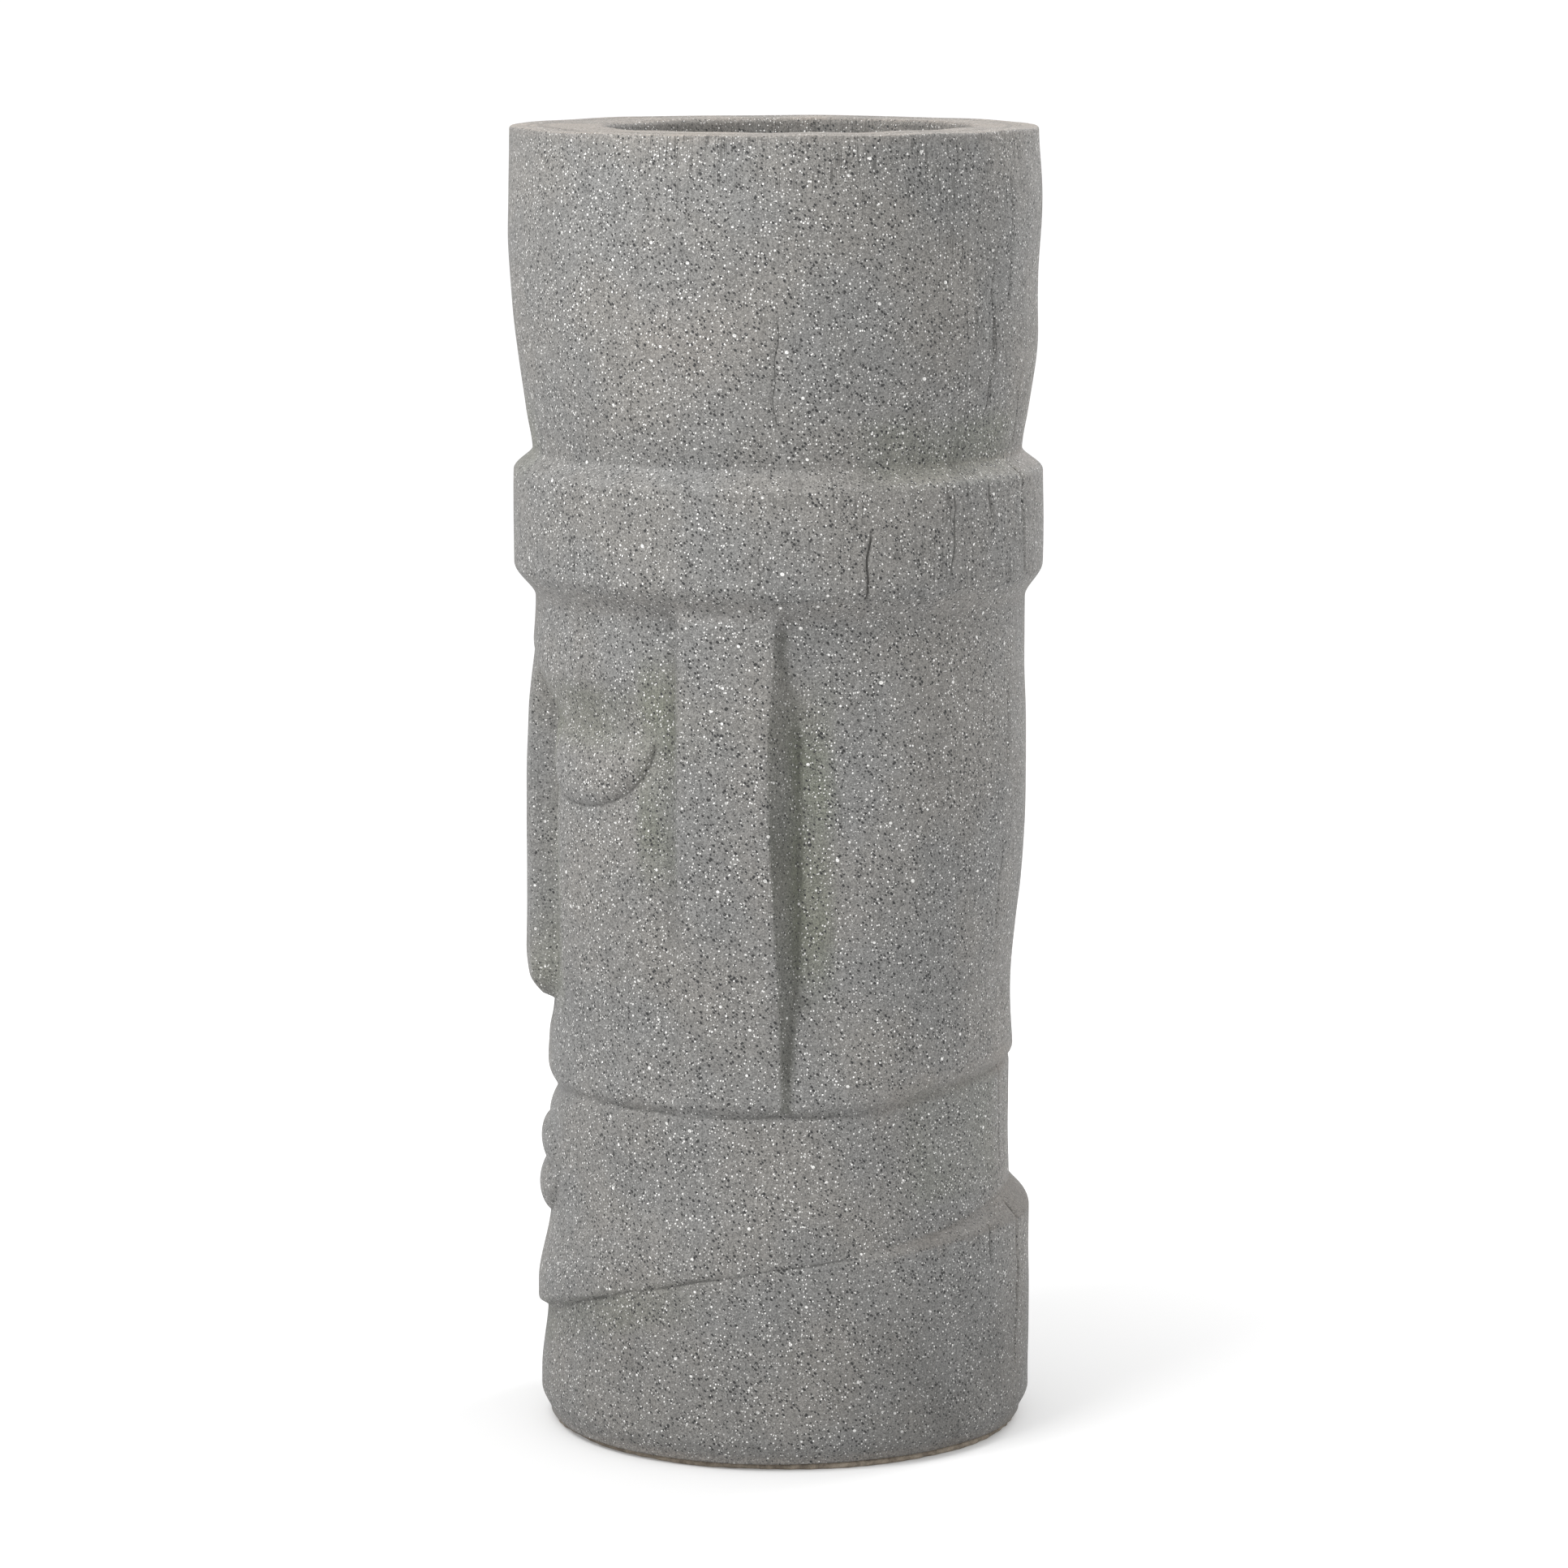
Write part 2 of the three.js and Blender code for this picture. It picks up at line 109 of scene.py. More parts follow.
SOCKET_DEPTH = 8

COLUMNS = 840
ROW_STEP = 1.3
SHELL_FACES = 190000

WHITE = (1.0, 1.0, 1.0, 1.0)


# ---------------------------------------------------------------- curves and blends


def through(*stations):
    """A smooth curve through (position, value) stations, flat beyond both ends."""
    xs, ys = np.array(stations, float).T
    climbs = np.diff(ys) / np.diff(xs)
    slopes = np.zeros(len(xs))
    for i in range(1, len(xs) - 1):
        before, after = climbs[i - 1], climbs[i]
        slopes[i] = 0 if before * after <= 0 else 2 * before * after / (before + after)

    def at(x):
        x = np.clip(np.asarray(x, float), xs[0], xs[-1])
        i = np.clip(np.searchsorted(xs, x, side="right") - 1, 0, len(xs) - 2)
        width = xs[i + 1] - xs[i]
        t = (x - xs[i]) / width
        near = (1 + 2 * t) * (1 - t) ** 2 * ys[i] + t * (1 - t) ** 2 * width * slopes[i]
        far = t * t * (3 - 2 * t) * ys[i + 1] - t * t * (1 - t) * width * slopes[i + 1]
        return near + far

    return at


def rise(x, low, high):
    """0 up to low, 1 from high on, and smooth between."""
    t = np.clip((x - low) / (high - low), 0, 1)
    return t * t * (3 - 2 * t)


def within(x, low, high, soft):
    """1 from low to high, and fading to 0 over soft outside them."""
    return rise(x, low - soft, low) * (1 - rise(x, high, high + soft))


def lerp(a, b, t):
    return a + (b - a) * t


def around(angle, front, side, back):
    """The value at an angle from its values at the front, the side and the back."""
    c = np.cos(np.radians(angle))
    return side * (1 - c * c) + np.where(c > 0, front, back) * c * c


def soft_min(a, b, radius):
    h = np.maximum(radius - np.abs(a - b), 0) / radius
    return np.minimum(a, b) - h * h * radius / 4


# ---------------------------------------------------------------- the carved surface

jaw_line = through((0, 71), (35, 90), (54, 104), (76, 119), (108, 130), (150, 136))
jaw_ledge = through((0, 5), (100, 4), (128, 7), (145, 12), (160, 17), (180, 20))
cheek_line = through((0, 212), (40, 220), (110, 222), (130, 229), (150, 233))

base_front = through((0, 149), (29, 149), (70, 145))
jaw_edge = through((0, 151), (45, 152.5), (70, 154.5), (95, 154.5), (125, 150), (180, 147))
neck_top = through((0, 143), (45, 147), (90, 150.5), (130, 147.5), (180, 146))
head_front = through((220, 143.5), (262, 141.5), (300, 146), (478, 152), (522, 149.5))
head_side = through((200, 152.5), (260, 151.5), (420, 155), (522, 152.5))
head_back = through((230, 148.5), (275, 146.5), (345, 153), (405, 156.5), (522, 154.5))
crown_front = through((610, 151), (640, 155.5), (666, 159), (700, 162.5), (750, 165.5), (813, 164))
crown_back = through((610, 152.5), (640, 156.5), (690, 162), (720, 161.5), (770, 163.5), (813, 161.5))

face_plane = through(
    (222, 165), (262, 141), (300, 136), (440, 134.5), (455, 137), (480, 147), (510, 164)
)
nose_front = through(
    (269, 140), (275, 149), (284, 155), (302, 157), (400, 156.5), (450, 155), (510, 149)
)
nose_half_width = through((271, 30), (288, 33), (314, 28), (430, 20), (480, 21), (505, 24))
nose_share = through((267, 0), (275, 1), (480, 1), (520, 0))
grooved_depth = through((0, 5.5), (30, 3.5), (50, 1.6), (110, 1.6), (180, 1.5))
grooved_height = through((0, 9), (30, 4), (50, 2.5), (180, 2.5))
ear_lift = through((225, 0.5), (270, 2), (410, 5.5), (530, 6.5))
ear_wall_depth = through((225, 1), (262, 6), (310, 11), (390, 13), (445, 11), (521, 3.5))
ear_back_edge = through((230, 91), (440, 88), (512, 89.5))
ear_wall_foot = through((230, 92.5), (325, 95.5), (440, 95.5), (512, 91.5))

inner_front = through(
    (0, 137), (70, 132), (230, 129.5), (300, 124.5), (450, 124), (510, 138), (536, 142),
    (600, 139.5), (660, 146), (760, 153), (813, 152),
)
inner_side = through(
    (0, 142.5), (110, 138), (230, 137), (300, 131), (465, 131), (536, 143), (600, 140.5),
    (660, 147), (760, 153), (813, 151),
)
inner_back = through(
    (0, 148), (110, 147), (152, 134), (230, 131), (280, 134.5), (350, 141.5), (500, 142.5),
    (536, 144), (600, 140.5), (660, 147.5), (760, 151.5), (813, 150),
)


def lips(angle, z):
    """Two lips that swell from the corners of the mouth to its middle."""
    sideways = FACE_RADIUS * np.sin(np.radians(np.minimum(angle, 90)))
    across = np.minimum(sideways / MOUTH_HALF_WIDTH, 1)
    full = np.sqrt(1 - across**2)

    def lip(middle, half, swell):
        off = (z - lerp(MOUTH, middle, full)) / (half * full + 1)
        return swell * full * np.maximum(0, 1 - off * off) ** 0.7

    upper = lip(middle=MOUTH + 15, half=13, swell=5.5)
    lower = lip(middle=MOUTH - 15, half=16, swell=7)
    return np.maximum(upper, lower)


def eye(angle, z):
    """A closed eyelid: a half-moon, flat on top, that bulges out of a shallow socket."""

    def inward(reach):
        return np.maximum(1 - ((angle - EYE_ANGLE) / reach) ** 2, 0)

    middle = EYELID_TOP + 3
    tall = np.where(z > middle, SOCKET_ABOVE, SOCKET_BELOW)
    up = np.maximum(1 - ((z - middle) / tall) ** 2, 0)
    socket = SOCKET_DEPTH * inward(SOCKET_REACH) ** 2 * up**2
    moon = np.sqrt(inward(EYELID_REACH))
    half = EYELID_HEIGHT / 2 * moon + 0.01
    off = (z - EYELID_TOP + half) / half
    lid = EYELID_BULGE * moon**0.8 * np.maximum(0, 1 - off * off) ** 0.6
    return lid - socket


def ear(angle, z):
    """A low plate in front, a wall behind it that drops into a long hollow."""
    edge, foot = ear_back_edge(z), ear_wall_foot(z)
    wall = np.clip((angle - edge) / (foot - edge), 0, 1)
    valley = 3 * rise(angle, 56, 65) * (1 - rise(angle, 65, 69))
    plate = ear_lift(z) * rise(angle, 65.5, 69) * (1 - 0.5 * rise(angle, 69, 88)) * (1 - wall)
    hollow = ear_wall_depth(z) * wall * (1 - rise(angle, foot, 126))
    return (plate - hollow - valley) * rise(z, 224, 232) * (1 - rise(z, 520, 532))


def head(angle, z):
    body = around(angle, head_front(z), head_side(z), head_back(z)) + ear(angle, z)
    c = np.cos(np.radians(angle))
    safe = np.maximum(c, FACE_COSINE)
    flat = soft_min(body, face_plane(z) / safe, FACE_BLEND) + eye(angle, z)
    across = FACE_RADIUS * np.sin(np.radians(angle))
    width = nose_half_width(z)
    nose = nose_share(z) * (1 - rise(across, width - 4, width + 7))
    ridge = nose_front(z) / safe - 4 * (across / width) ** 2
    return np.where(c < FACE_COSINE, body, lerp(flat, np.maximum(ridge, flat), nose))


def carved_radius(angle, z):
    """The radius of the casting's outside before wear, for an angle of 0 to 180 degrees."""
    jaw, cheek = jaw_line(angle), cheek_line(angle)
    base = around(angle, base_front(z), BASE_SIDE, BASE_BACK)
    radius = base - FOOT_PULLED_IN * (1 - rise(z, 4, 20))
    neck = lerp(jaw_edge(angle), neck_top(angle), rise(z, jaw + 15, jaw + 62))
    radius = lerp(radius, neck + lips(angle, z), rise(z, jaw, jaw + jaw_ledge(angle)))
    radius = lerp(radius, head(angle, z), rise(z, cheek - 1, cheek + 7))
    radius = radius - grooved_depth(angle) * np.exp(-(((z - cheek) / grooved_height(angle)) ** 2))
    band = around(angle, BAND_FRONT, BAND_SIDE, BAND_BACK)
    radius = lerp(radius, band, rise(z, BAND_LOW, BAND_LOW + BAND_LOW_SLOPE))
    front, back = crown_front(z), crown_back(z)
    crown = around(angle, front, (front + back) / 2, back)
    return lerp(radius, crown, rise(z, BAND_HIGH - BAND_HIGH_SLOPE, BAND_HIGH))


def inner_radius(angle, z):
    return around(angle, inner_front(z), inner_side(z), inner_back(z))


# ---------------------------------------------------------------- wear

# How a crack strays sideways: two waves, each by its size and the length that sets its pace.
STRAY_WIDE = 1.3
STRAY_WIDE_LENGTH = 13
STRAY_FINE = 0.6
STRAY_FINE_LENGTH = 4.1

# Drying cracks: angle, lowest and highest point, half width in millimetres, strength.
CRACKS = [
    (110, 533, 580, 0.9, 1.0),
    (130.5, 546, 602, 0.6, 0.7),
    (142, 575, 607, 0.8, 0.7),
    (156, 541, 613, 0.8, 0.9),
    (160, 617, 668, 0.5, 0.5),
    (71, 543, 570, 0.5, 0.4),
    (87, 540, 575, 0.5, 0.5),
    (42, 541, 565, 0.5, 0.6),
    (96, 535, 547, 0.5, 0.5),
    (156, 412, 474, 0.6, 0.6),
    (153.5, 318, 382, 0.5, 0.5),
    (161, 162, 239, 0.9, 0.8),
    (147, 112, 143, 0.8, 0.9),
    (160.5, 40, 150, 1.1, 1.0),
    (146, 146, 156, 0.7, 0.7),
    (-52, 536, 561, 0.6, 0.6),
    (-84, 548, 600, 0.7, 0.8),
    (-121, 534, 588, 0.9, 1.0),
    (-149, 556, 611, 0.7, 0.8),
    (-168, 300, 372, 0.6, 0.6),
    (-138, 24, 122, 1.0, 0.9),
    (-104, 700, 752, 0.5, 0.4),
    (174, 690, 770, 0.5, 0.5),
    (90, 636, 708, 0.4, 0.6),
    (57, 630, 668, 0.4, 0.5),
    (144, 640, 745, 0.4, 0.6),
    (150.5, 700, 790, 0.4, 0.5),
    (-70, 640, 712, 0.4, 0.5),
    (-146, 655, 760, 0.4, 0.6),
]

CREASES = ("cheek", "jaw", "lid", "mouth")


def wander(z, phase):
    """How far a crack strays sideways at a height, in millimetres. Its material repeats this."""
    wide = STRAY_WIDE * np.sin(z / STRAY_WIDE_LENGTH + phase)
    return wide + STRAY_FINE * np.sin(z / STRAY_FINE_LENGTH + 2 * phase)


def crack_depth(angle, z):
    """How deep the cracks cut, in millimetres, for an angle of -180 to 180 degrees."""
    depth = np.zeros(np.broadcast(angle, z).shape)
    for phase, (place, low, high, width, strength) in enumerate(CRACKS):
        off = np.abs(np.radians(angle - place) * BODY_RADIUS - wander(z, phase))
        reach = width + 0.7
        ends = within(z, low + 6, high - 6, 6)
        depth = np.maximum(depth, 1.6 * strength * ends * (1 - rise(off, 0.2, reach)))
    return depth


def from_cheek_line(side, z):
    """How far above the cheek line a point is, with a line that strays as a hand tool does."""
    return z - cheek_line(side) + 1.2 - 0.8 * np.sin(side / 6.5) - 0.5 * np.sin(side / 2.3)


def from_jaw_line(side, z):
    return z - jaw_line(side) - 1.5 - 0.8 * np.sin(side / 7.5 + 1) - 0.4 * np.sin(side / 2.7)


def from_eyelid(side, z):
    """How far inside the eyelid's lower edge, an oval, a point is."""
    wide, tall = EYELID_HALF_WIDTH, EYELID_HEIGHT
    a, b = np.radians(side - EYE_ANGLE) * BODY_RADIUS, np.minimum(z - EYELID_TOP, 0)
    slope = np.hypot(2 * a / wide**2, 2 * b / tall**2) + 1e-4
    return (1 - (a / wide) ** 2 - (b / tall) ** 2) / slope


def from_mouth(side, z):
    return z - MOUTH - 0.8 * np.sin(side / 5 + 1)


def offs_from_creases(side, z):
    """How far a point is from the middle of each crease, in millimetres."""
    cheek, jaw = from_cheek_line(side, z), from_jaw_line(side, z)
    return cheek, jaw, from_eyelid(side, z) + 1, from_mouth(side, z)


def crease_shares(side, z):
    """How strongly each crease is drawn there."""
    cheek = 0.5 * within(side, 52, 100, 18)
    jaw = within(side, 24, 104, 12) * (0.35 + 0.4 * np.sin(side / 9) ** 2)
    lid = (0.36 + 0.1 * rise(side, 46, 54)) * within(side, 17, 60, 4) * (1 - rise(z, 444, 452))
    mouth = 0.4 * within(side, 0, 15, 4)
    return cheek, jaw, lid, mouth


def crease_depth(angle, z):
    """How deep the creases, and the two short arcs on each cheek, cut in millimetres."""
    side = np.abs(angle)
    depth = 0.0
    for off, share in zip(offs_from_creases(side, z), crease_shares(side, z)):
        depth = depth + 1.3 * share * np.exp(-((off / 1.5) ** 2))
    for place, middle, reach in ((47, 366, 22), (45, 322, 26)):
        a, b = np.radians(side - place) * BODY_RADIUS, z - middle
        off = np.hypot(a, b) - reach
        share = within(np.degrees(np.arctan2(b, a)), -62, -8, 14)
        depth = depth + 1.3 * share * np.exp(-((off / 1.6) ** 2))
    return depth


def lumps(angle, z, size, seed, around_most=14):
    """Seeded uneven swells that close round the axis, within about -size to size."""
    random = np.random.default_rng(seed)
    total = np.zeros(np.broadcast(angle, z).shape)
    for _ in range(around_most):
        turns = random.integers(1, 16)
        tall = random.uniform(-1, 1) / random.uniform(18, 70)
        total = total + np.cos(turns * np.radians(angle) + tall * z * 2 + random.uniform(0, 6.3))
    return size * total / math.sqrt(around_most)


def nicks(angle, z):
    """Small knocks along the rim, the headband's edges and the ledges, in millimetres."""
    random = np.random.default_rng(11)
    depth = np.zeros(np.broadcast(angle, z).shape)
    heights = [HEIGHT - 2, BAND_HIGH - 6, BAND_LOW + 24]
    for i in range(54):
        place = random.uniform(-180, 180)
        level = heights[i % 3] + random.uniform(-3, 2)
        wide, tall = random.uniform(2.5, 7), random.uniform(1.5, 4)
        deep = random.uniform(0.4, 1.6)
        off = (np.radians((angle - place + 180) % 360 - 180) * BODY_RADIUS / wide) ** 2
        depth = depth + deep * np.exp(-off - ((z - level) / tall) ** 2)
    return depth


def rim_height(angle):
    """The slightly uneven height of the rim."""
    return HEIGHT - 0.4 - lumps(angle, 0, 0.3, 8)


def worn_radius(angle, z):
    """The finished outside, for an angle of -180 to 180 degrees."""
    worn = lumps(angle, z, 0.35, 3) + lumps(angle, z * 2.4, 0.16, 5, 18)
    cuts = crack_depth(angle, z) + crease_depth(angle, z) + nicks(angle, z)
    return carved_radius(np.abs(angle), z) + worn - cuts


# ---------------------------------------------------------------- where the surface differs


def surface_marks(angle, z, top):
    """Shares from 0 to 1 that the stone's material reads at each point: how far smooth paste
    hides the chips, how tan and how green it is, how much painted shade darkens it, and how
    strong the fine upright checks are. With them go each crease's distance, in millimetres,
    and its share. Top is 1 where the surface faces up at the rim."""
    side = np.abs(angle)
    jaw, cheek = jaw_line(side), cheek_line(side)
    ledge_top = jaw + jaw_ledge(side)
    mottle = lumps(angle, z * 2, 0.22, 21)

    under_band = within(z, BAND_LOW + 2, BAND_LOW + 12, 3)
    over_band = within(z, BAND_HIGH - 8, BAND_HIGH - 1, 4)
    groove = np.exp(-(((z - cheek) / 5) ** 2))
    recess = within(z, cheek - 2, cheek + 9, 6) * rise(side, 105, 125)
    ledge = within(z, jaw + 1, ledge_top - 1, 2) * rise(side, 108, 128)
    rear = rise(side, 148, 162)
    rim = rise(z, HEIGHT - 8, HEIGHT - 2)
    hem = 1 - rise(z, FOOT + 1, FOOT + 8)
    edge, foot = ear_back_edge(z), ear_wall_foot(z)
    strip = within(side, edge + 0.6, foot + 0.6, 0.9) * within(z, 226, 516, 5)
    beside_strip = within(side, 96, 101, 5) * within(z, 330, 440, 60)
    socket = np.exp(-(((side - EYE_ANGLE) / 26) ** 2)) * within(z, 448, 470, 14)
    nose_root = within(side, 14, 22, 6) * within(z, 290, 450, 30)
    chin = within(z, jaw - 16, jaw - 2, 10) * (1 - rise(side, 55, 80))

    plain = 0.1 * under_band + 0.12 * over_band + 0.2 * groove + 0.25 * recess
    plain = plain + 0.3 * ledge + 0.1 * rear + 0.2 * rim + 0.3 * hem
    plain = plain + 0.1 * strip + 0.2 * (1 - rise(side, 4, 22))
    plain = np.clip(plain * (1 + mottle), 0, 0.97)

    patch = np.exp(-(((side - 71) / 12) ** 2) - ((z - 693) / 32) ** 2)
    tan = 0.4 * ledge + 0.25 * recess + 0.5 * top + 0.2 * rim + 0.4 * hem + 0.3 * patch
    tan = tan + 0.3 * over_band * rise(side, 105, 140) + 0.1 * under_band + 0.12 * rear
    tan = np.clip(tan * (1 + mottle), 0, 1)

    moss = 0.6 * beside_strip + 0.3 * strip + 0.35 * socket + 0.35 * nose_root + 0.3 * chin
    moss = moss + 0.4 * within(side, 59, 65, 4) * within(z, 380, 480, 30)
    moss = moss + 0.35 * within(side, 118, 150, 14) * within(z, 612, 634, 14)
    moss = moss + 0.25 * within(side, 128, 152, 10) * within(z, 168, 226, 14)
    moss = moss + 0.3 * within(side, 0, 14, 8) * within(z, 606, 640, 12)
    moss = np.clip(moss * (1 + 1.4 * mottle), 0, 1)

    # Painted shade: darker where shade falls. This covers the wall behind the ear and its foot, the
    # cheek groove, the eye sockets, under the chin, along the ear's front edge and the jaw ledge. It
    # also darkens towards the bottom, most on the back half.
    painted_shade = 0.6 * strip + 0.1 * groove + 0.14 * socket + 0.12 * chin
    painted_shade = painted_shade + 0.25 * within(side, foot, foot + 0.7, 0.7) * within(z, 236, 512, 20)
    painted_shade = painted_shade + 0.14 * (1 - rise(z, 40, 140)) * (1 + 2.4 * rise(side, 95, 130))
    painted_shade = painted_shade + 0.3 * within(side, 64.4, 65.8, 1.5) * within(z, 330, 515, 30)
    painted_shade = painted_shade + 0.55 * ledge
    painted_shade = np.clip(painted_shade * (1 + mottle), 0, 1)

    checks = 0.3 + 0.5 * within(z, BAND_LOW + 16, BAND_HIGH - 6, 8) * rise(side, 80, 120)
    checks = checks + 0.7 * within(z, HEIGHT - 36, HEIGHT - 6, 12) * rise(side, 50, 80)
    checks = checks + 0.5 * rise(side, 112, 140) * rise(z, 600, 640) + 0.3 * rear
    checks = np.clip(checks * (1 - top) * (1 + mottle), 0, 1)
    marks = {"plain": plain, "tan": tan, "moss": moss, "painted_shade": painted_shade, "checks": checks}
    creases = zip(CREASES, offs_from_creases(side, z), crease_shares(side, z))
    for name, off, share in creases:
        marks[name + " off"], marks[name + " share"] = off, share
    return marks


# ---------------------------------------------------------------- meshes


def ring_points(angles, radius, z, centre=0.0):
    """A ring of points in metres, from radii and heights in millimetres."""
    turn = np.radians(angles)
    x = radius * np.sin(turn)
    y = centre - radius * np.cos(turn)
    return np.stack(np.broadcast_arrays(x, y, z), axis=-1) * MM


def add_skin(name, rings):
    """A closed mesh over rings of points. It runs from each ring to the next, and from the
    last back to the first."""
    points = np.stack(rings)
    rows, columns = points.shape[:2]
    index = np.arange(rows * columns).reshape(rows, columns)
    above = np.roll(index, -1, axis=0)
    faces = np.stack([index, np.roll(index, -1, 1), np.roll(above, -1, 1), above], axis=-1)
    mesh = bpy.data.meshes.new(name)
    mesh.from_pydata(points.reshape(-1, 3).tolist(), [], faces.reshape(-1, 4).tolist())
    mesh.polygons.foreach_set("use_smooth", np.ones(len(mesh.polygons), bool))
    piece = bpy.data.objects.new(name, mesh)
    bpy.context.scene.collection.objects.link(piece)
    return piece


def thin_out(piece, most):
    """Brings a dense mesh down to about that many triangles, where its surface is smooth."""
    triangles = 2 * len(piece.data.polygons)
    if triangles <= most:
        return
    modifier = piece.modifiers.new("thin out", "DECIMATE")
    modifier.ratio = most / triangles
    bake_modifiers(piece)


def add_block(name, size, middle):
    """A box of that size about its middle, in millimetres."""
    corners = [(x, y, z) for z in (-0.5, 0.5) for y in (-0.5, 0.5) for x in (-0.5, 0.5)]
    points = [tuple((m + c * s) * MM for c, s, m in zip(corner, size, middle)) for corner in corners]
    sides = [(0, 2, 3, 1), (4, 5, 7, 6), (0, 1, 5, 4), (2, 6, 7, 3), (0, 4, 6, 2), (1, 3, 7, 5)]
    mesh = bpy.data.meshes.new(name)
    mesh.from_pydata(points, [], sides)
    block = bpy.data.objects.new(name, mesh)
    bpy.context.scene.collection.objects.link(block)
    return block


def bake_modifiers(piece):
    evaluated = piece.evaluated_get(bpy.context.evaluated_depsgraph_get())
    baked = bpy.data.meshes.new_from_object(evaluated)
    piece.modifiers.clear()
    piece.data = baked


def combine(piece, tool, operation):
    """Adds or cuts away a closed mesh, which is then gone."""
    modifier = piece.modifiers.new(operation, "BOOLEAN")
    modifier.operation = operation
    modifier.object = tool
    bake_modifiers(piece)
    bpy.data.objects.remove(tool)


def mark_surface(piece):
    """Stores the surface's marks on the mesh, for the stone's material to read."""
    mesh = piece.data
    at = np.empty(len(mesh.vertices) * 3)
    mesh.vertices.foreach_get("co", at)
    x, y, z = at.reshape(-1, 3).T / MM
    facing = np.empty(len(mesh.vertices) * 3)
    mesh.vertices.foreach_get("normal", facing)
    top = rise(facing.reshape(-1, 3)[:, 2], 0.5, 0.9) * rise(z, HEIGHT - 6, HEIGHT - 3)
    for name, share in surface_marks(np.degrees(np.arctan2(x, -y)), z, top).items():
        layer = mesh.attributes.new(name, "FLOAT", "POINT")
        layer.data.foreach_set("value", share.astype(np.float32))


def stand_for(piece, node, body):
    """Puts a piece in the place of a CAD node."""
    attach(piece, body)
    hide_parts(node)


# ---------------------------------------------------------------- material nodes


class Paint:
    """A procedural material under construction."""

    def __init__(self, name):
        self.material = bpy.data.materials.new(name)
        self.material.use_nodes = True
        self.tree = self.material.node_tree
        self.shader = next(n for n in self.tree.nodes if n.type == "BSDF_PRINCIPLED")

    def add(self, kind, inputs=None, output=0, **settings):
        """Adds a node and gives one of its outputs. An input is a number, a colour or a link."""
        made = self.tree.nodes.new("ShaderNode" + kind)
        for key, value in settings.items():
            setattr(made, key, value)
        for key, value in (inputs or {}).items():
            if isinstance(value, bpy.types.NodeSocket):
                self.tree.links.new(value, made.inputs[key])
            else:
                made.inputs[key].default_value = value
        return made.outputs[output]

    def math(self, operation, a, b=0.0, c=0.0, clamp=False):
        return self.add("Math", {0: a, 1: b, 2: c}, operation=operation, use_clamp=clamp)

    def rise(self, value, low, high):
        """0 below low, 1 above high, smooth between."""
        inputs = {"Value": value, "From Min": low, "From Max": high}
        return self.add("MapRange", inputs, interpolation_type="SMOOTHSTEP")

    def span(self, value, low, high):
        """Maps 0 to 1 onto low to high."""
        return self.add("MapRange", {"Value": value, "To Min": low, "To Max": high})

    def mix(self, share, a, b):
        """One colour fading to another."""
        return self.add("Mix", {0: share, 6: a, 7: b}, output=2, data_type="RGBA")

    def tint(self, colour, tone):
        """The colour made lighter or darker by a tone about 1."""
        grey_tone = self.add("CombineColor", {0: tone, 1: tone, 2: tone})
        inputs = {0: 1.0, 6: colour, 7: grey_tone}
        return self.add("Mix", inputs, output=2, data_type="RGBA", blend_type="MULTIPLY")

    def place(self):
        return self.add("TexCoord", output="Object")

    def noise(self, place, size, detail=2.0, rough=0.5):
        """Soft noise from 0 to 1 whose swells are about size millimetres across."""
        inputs = {"Vector": place, "Scale": 1 / (size * MM), "Detail": detail, "Roughness": rough}
        return self.add("TexNoise", inputs)

    def mark(self, name):
        return self.add("Attribute", output="Fac", attribute_name=name)

    def set(self, **values):
        """Sets or links the shader's own sockets."""
        for key, value in values.items():
            socket = self.shader.inputs[key.replace("_", " ")]
            if isinstance(value, bpy.types.NodeSocket):
                self.tree.links.new(value, socket)
            else:
                socket.default_value = value

    def bump(self, height, strength=1.0):
        """A bump from a height in millimetres."""
        inputs = {"Height": height, "Distance": MM, "Strength": strength}
        self.set(Normal=self.add("Bump", inputs))


def grey(value):
    return (value, value, value, 1.0)


# ---------------------------------------------------------------- the cast stone

SAND_SIZE = 0.85  # millimetres between the grains of sand
PASTE = (0.165, 0.164, 0.1595, 1.0)
# The bowl's paste is darker than the casting's: painted shade for inside the bowl, and it darkens the
# bowl's flange too.
SHADED_BOWL_PASTE = (0.125, 0.123, 0.118, 1.0)
TAN_STAIN = (0.235, 0.208, 0.182, 1.0)
GREEN_STAIN = (0.128, 0.138, 0.098, 1.0)
BLACK_CHIP = (0.022, 0.022, 0.022, 1.0)
GREY_CHIP = (0.46, 0.455, 0.44, 1.0)
WHITE_CHIP = (0.88, 0.87, 0.85, 1.0)
# Near-black for the crack lines and for painted shade.
CRACK_AND_SHADE_BLACK = (0.028, 0.027, 0.024, 1.0)


def chips(paint, place, cell, smallest, largest, lean=(0.0, 0.0, 0.0), stretch=1.0, hidden=None):
    """Chips of stone in the paste: one in each cell of about that many millimetres, from
    smallest to largest in radius. Gives how far a point is covered, and a shade for it."""
    scale = [1 / (cell * MM)] * 3
    scale[0] /= stretch
    turned = paint.add("Mapping", {"Vector": place, "Rotation": lean})
    spot = paint.add("Mapping", {"Vector": turned, "Scale": scale})
    cells = paint.add("TexVoronoi", {"Vector": spot, "Scale": 1.0})
    parts = paint.add("SeparateColor", {"Color": cells.node.outputs["Color"]})
    chance = paint.math("POWER", parts, 2.2)
    radius = paint.span(chance, smallest / cell, largest / cell)
    if hidden is not None:
        radius = paint.math("MULTIPLY", radius, hidden)
    inside = paint.math("SUBTRACT", radius, cells)
    cover = paint.math("MULTIPLY", inside, cell / 0.14, clamp=True)
    return cover, parts.node.outputs["Green"]


